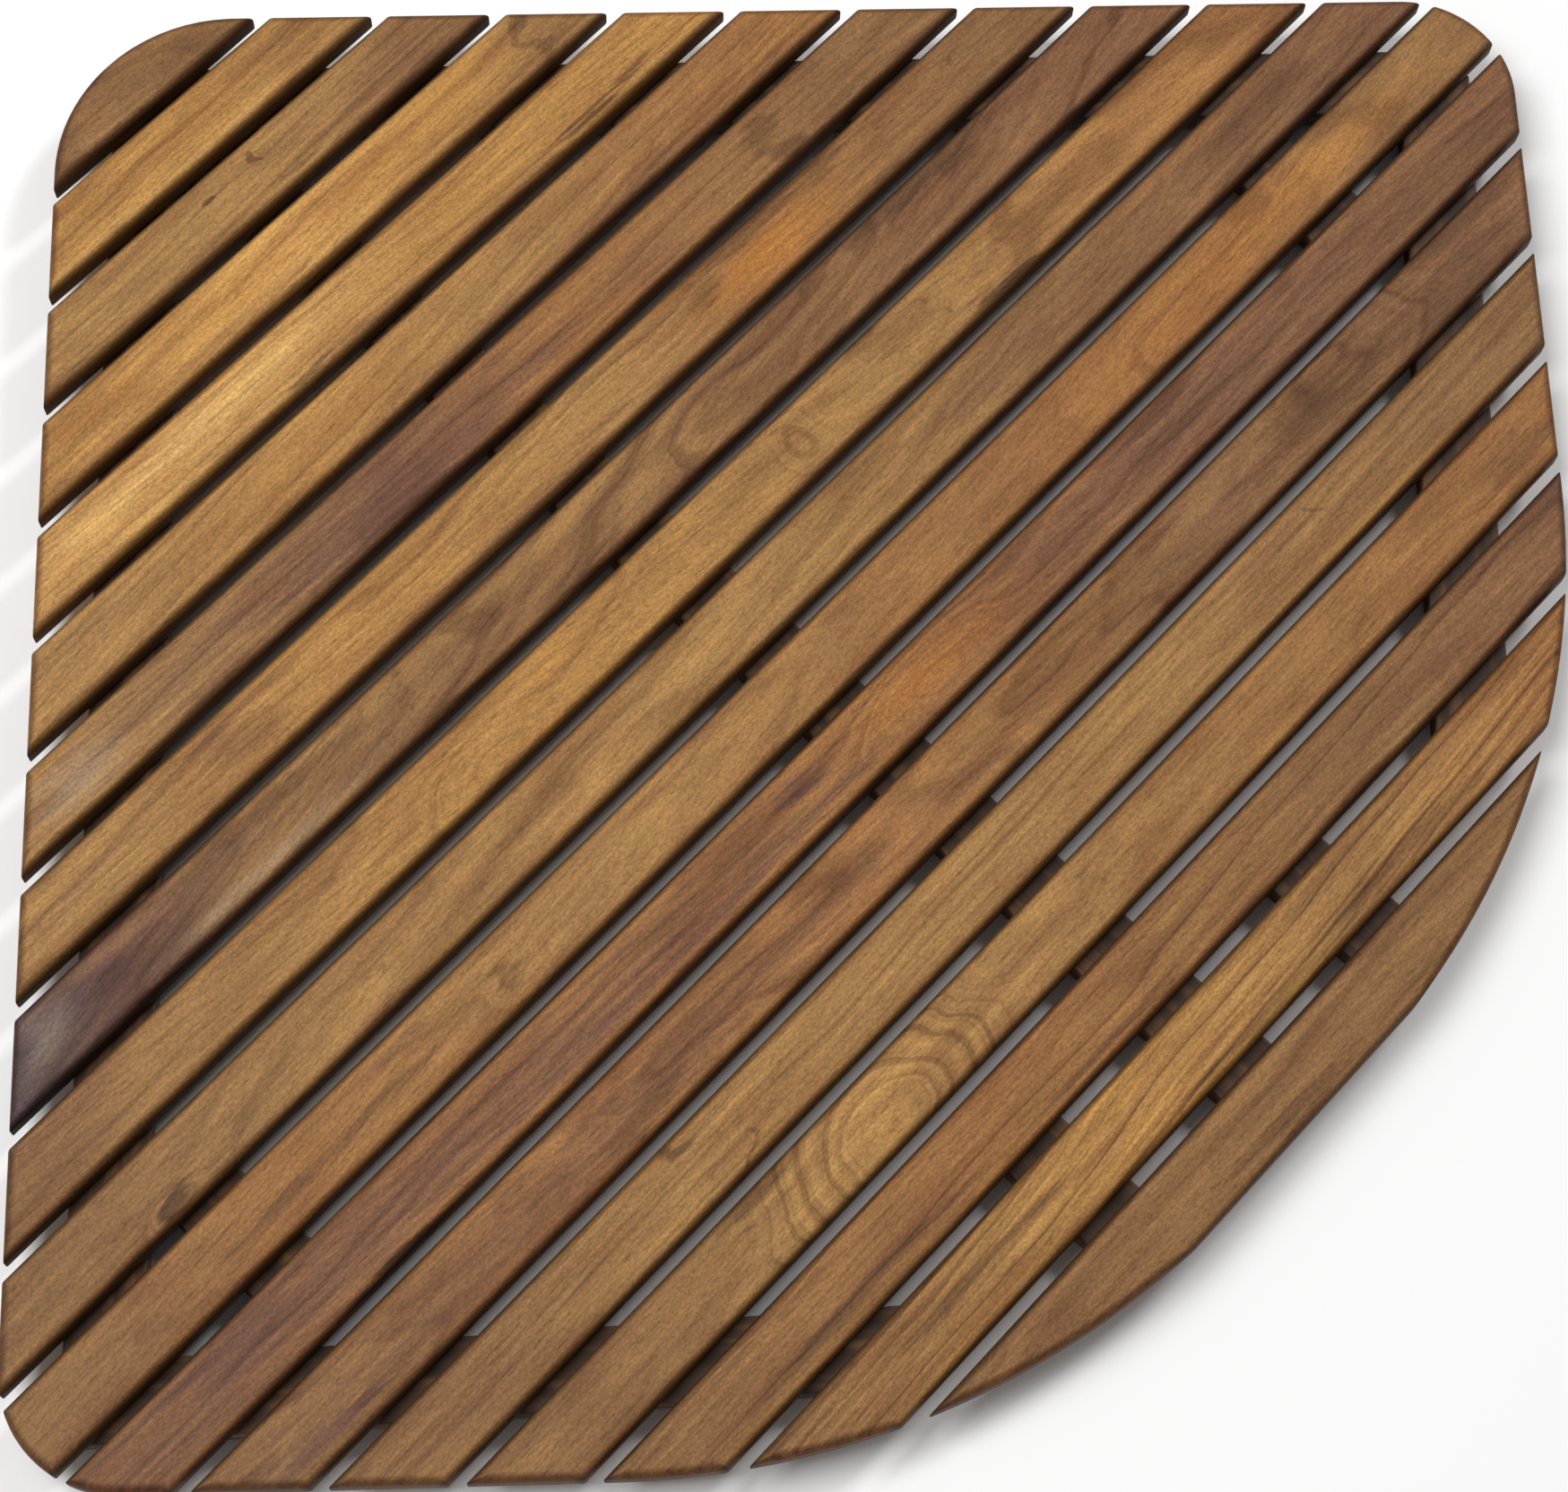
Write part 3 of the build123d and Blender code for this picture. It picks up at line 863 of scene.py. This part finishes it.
        rings=(3, 50, -40, 1.5, 1.5, 1.5),
        marks=[
            (-10, 3, 120, 3, "gold", 0.6, 0.8), (-120, -6, 60, 2.5, "gold", 0.5, 0.7),
            (140, -8, 70, 4, "umber", 0.5, 0.8), (-170, 2, 60, 2, "umber", 0.6, 0.6),
            (40, -13, 60, 2, "umber", 0.6, 0.6),
        ],
        fibre=1.3,
    ),
    19: dict(
        stops=[(-220, "nut"), (220, "nut")],
        rings=(6, 60, -60, -0.8, 1.5, 0.6),
        marks=[(-20, -10, 60, 3, "umber", 0.5, 0.7)],
        fibre=0.8,
    ),
}
SEED_STEP = 1.37  # moves the noise on, so that no two boards share a figure
for number, board in boards.items():
    middle_y = CORNER_Y - (FIRST_SLAT + (number - 1) * SLAT_PITCH + SLAT_WIDTH / 2)
    finish = oiled_teak(f"oiled_teak_{number:02d}", middle_y, seed=number * SEED_STEP, **board)
    slats[number].data.materials.append(finish)
print("boards with their own figure:", len(boards))

# %% [markdown]
# ## The battens
# The battens are the same timber. Their tones are painted darker, a painted shade for the shade they
# lie in under the slats.
# Their CAD shape is right, with its screw holes, so they only get a finish. The grain is turned
# to run along each batten, which lies square to the slats or at half a right angle to them.


# %% Teak for the battens
GRAINS["batten_fibres"] = dict(
    along=60.0, across=1.5, steps=(3.1, 5.3, 0.0), Detail=3.0, Roughness=0.6
)
GRAINS["batten_bands"] = dict(
    along=160.0, across=9.0, steps=(1.0, 2.7, 1.0), Detail=2.0, Roughness=0.5
)


def batten_teak(name, angle, seed):
    """Oiled teak whose fibres run along a batten at an angle in degrees from the x axis."""
    material, tree = empty_material(name)
    place = add_node(tree, "ShaderNodeTexCoord").outputs["Object"]
    turned = add_node(
        tree, "ShaderNodeMapping", PLACED, Vector=place,
        Rotation=(0.0, 0.0, np.radians(angle)), Scale=(MM, MM, MM),
    ).outputs[0]
    fibres = stretched_noise(tree, turned, seed, **GRAINS["batten_fibres"])
    bands = stretched_noise(tree, turned, seed, **GRAINS["batten_bands"])
    tone = add_node(tree, "ShaderNodeValToRGB", Fac=bands)
    # these dark tones are painted shade for the shade under the slats
    set_stops(tone, [
        (0.30, linear("#3c2a1a")), (0.50, linear("#54392a")), (0.72, linear("#866038")),
    ])
    fibre_tint = add_node(tree, "ShaderNodeValToRGB", Fac=fibres)
    set_stops(fibre_tint, [(0.32, (0.72, 0.68, 0.64, 1)), (0.5, (1, 1, 1, 1))])
    colour = add_node(
        tree, "ShaderNodeMix", MULTIPLIED, Factor=0.7, in_6=tone.outputs["Color"],
        in_7=fibre_tint.outputs["Color"],
    ).outputs[2]
    bump = add_node(
        tree, "ShaderNodeBump", Strength=0.3, Distance=FIBRE_HEIGHT * MM, Height=fibres
    ).outputs[0]
    wood = add_node(
        tree, "ShaderNodeBsdfPrincipled", Base_Color=colour, Roughness=0.6, Normal=bump, IOR=1.45
    )
    add_node(tree, "ShaderNodeOutputMaterial", Surface=wood.outputs[0])
    return material


def finish_node(node_name, material):
    """Put a finish on every material slot of a CAD node."""
    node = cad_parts[node_name]
    for slot_number in range(max(1, len(node.material_slots))):
        if node.material_slots:
            node.material_slots[slot_number].material = material
        else:
            node.data.materials.append(material)


batten_angles = {
    "centre_batten": 90, "corner_batten_right": 90, "corner_batten_left": 90,
    "front_batten_right": 90, "front_batten_left": 90, "wall_batten_right": -45,
    "wall_batten_left": 45, "side_batten_right": 47.5, "side_batten_left": -47.5,
}
BATTEN_SEED_STEP = 13.7
for number, (node_name, angle) in enumerate(batten_angles.items(), start=1):
    finish_node(node_name, batten_teak(f"teak_{node_name}", angle, number * BATTEN_SEED_STEP))
print("battens finished:", len(batten_angles))

# %% [markdown]
# ## Rubber feet and stainless screws
# The feet are moulded black rubber: matte, with a faint mottle where it has been handled. The
# screws are stainless steel, turned and tumbled, so they are satin and a little uneven from wear.
# A plain colour would do for pieces this small, but the mottle and the wear keep them from looking
# like plastic in a close view of the underside. Their CAD shape stays as it is.

# %% Rubber and stainless steel
RUBBER_MOTTLE = 900.0  # lumps of noise per metre, so about one a millimetre
STEEL_WEAR = 1500.0

rubber, tree = empty_material("moulded_black_rubber")
place = add_node(tree, "ShaderNodeTexCoord").outputs["Object"]
mottle = add_node(
    tree, "ShaderNodeTexNoise", Vector=place, Scale=RUBBER_MOTTLE, Detail=3.0, Roughness=0.6
).outputs["Fac"]
tone = add_node(tree, "ShaderNodeValToRGB", Fac=mottle)
set_stops(tone, [(0.35, linear("#1a1a1a")), (0.65, linear("#2b2a29"))])
bump = add_node(
    tree, "ShaderNodeBump", Strength=0.4, Distance=0.1 * MM, Height=mottle
).outputs[0]
skin = add_node(
    tree, "ShaderNodeBsdfPrincipled", Base_Color=tone.outputs["Color"], Roughness=0.75,
    Normal=bump, IOR=1.52,
)
add_node(tree, "ShaderNodeOutputMaterial", Surface=skin.outputs[0])

steel, tree = empty_material("satin_stainless_steel")
place = add_node(tree, "ShaderNodeTexCoord").outputs["Object"]
wear = add_node(
    tree, "ShaderNodeTexNoise", Vector=place, Scale=STEEL_WEAR, Detail=2.0, Roughness=0.6
).outputs["Fac"]
satin = add_node(
    tree, "ShaderNodeMapRange", Value=wear, From_Min=0.3, From_Max=0.7, To_Min=0.25, To_Max=0.42
).outputs[0]
metal = add_node(
    tree, "ShaderNodeBsdfPrincipled", Base_Color=linear("#c9c6c1"), Metallic=1.0, Roughness=satin,
)
add_node(tree, "ShaderNodeOutputMaterial", Surface=metal.outputs[0])

for node_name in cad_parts:
    if node_name.startswith("foot_") and node_name != "foot_screws":
        finish_node(node_name, rubber)
    elif node_name.endswith("_screws"):
        finish_node(node_name, steel)
print("feet and screws finished")

# %% [markdown]
# ## Floor, light and camera
# The mat lies on a plain pale floor. A dim even sky fills the shade, a large soft light hangs
# over the wall corner's side, and one far to the right shines along the gaps and gives the battens
# their shadows. The camera looks down at about twenty degrees from straight down.

# %% The floor
floor_reach = 20.0  # metres from the middle, so that low views still end on floor
floor_drop = -0.2 * MM  # a hair under the feet, so that two faces never share one plane
floor_mesh = bpy.data.meshes.new("floor")
floor_mesh.from_pydata(
    [(side_x * floor_reach, side_y * floor_reach, floor_drop)
     for side_x, side_y in ((-1, -1), (1, -1), (1, 1), (-1, 1))],
    [], [(0, 1, 2, 3)],
)
floor = bpy.data.objects.new("floor", floor_mesh)
bpy.context.scene.collection.objects.link(floor)
pale, tree = empty_material("pale_floor_paint")
paint = add_node(tree, "ShaderNodeBsdfPrincipled", Base_Color=linear("#fcfcfc"), Roughness=0.9)
add_node(tree, "ShaderNodeOutputMaterial", Surface=paint.outputs[0])
floor_mesh.materials.append(pale)
print("floor", 2 * floor_reach, "m across")


# %% The lights
def facing(place, aim, roll=0.0):
    """The matrix of a lamp or camera at a place that looks at a point, rolled by degrees."""
    look = Vector(aim) - Vector(place)
    turn = look.to_track_quat("-Z", "Y").to_matrix().to_4x4()
    return Matrix.Translation(place) @ turn @ Matrix.Rotation(np.radians(roll), 4, "Z")


def soft_light(name, place, size, power):
    """A square area light at a place, in metres, turned to face the mat. Its power is in watts."""
    data = bpy.data.lights.new(name, "AREA")
    data.size = size
    data.energy = power
    lamp = bpy.data.objects.new(name, data)
    bpy.context.scene.collection.objects.link(lamp)
    lamp.matrix_world = facing(place, (0.0, 0.0, 0.0))


world = bpy.data.worlds.new("soft_studio")
bpy.context.scene.world = world
world.use_nodes = True
sky = world.node_tree.nodes["Background"]
sky.inputs["Color"].default_value = (1.0, 1.0, 1.0, 1.0)
sky.inputs["Strength"].default_value = 0.26
soft_light("overhead_left", (-1.0, 1.1, 3.2), size=2.0, power=88.0)
soft_light("far_right", (4.6, -0.3, 3.7), size=1.2, power=125.0)
bpy.context.scene.view_settings.view_transform = "Standard"

# %% The camera
camera_data = bpy.data.cameras.new("camera")
camera_data.sensor_width = 36.0
camera_data.lens = 77.8
camera = bpy.data.objects.new("camera", camera_data)
bpy.context.scene.collection.objects.link(camera)
camera.matrix_world = facing((-0.465, -0.460, 1.579), (-0.029, -0.100, 0.016), roll=3.9)
bpy.context.scene.camera = camera
print("lens", round(camera_data.lens, 1), "mm")
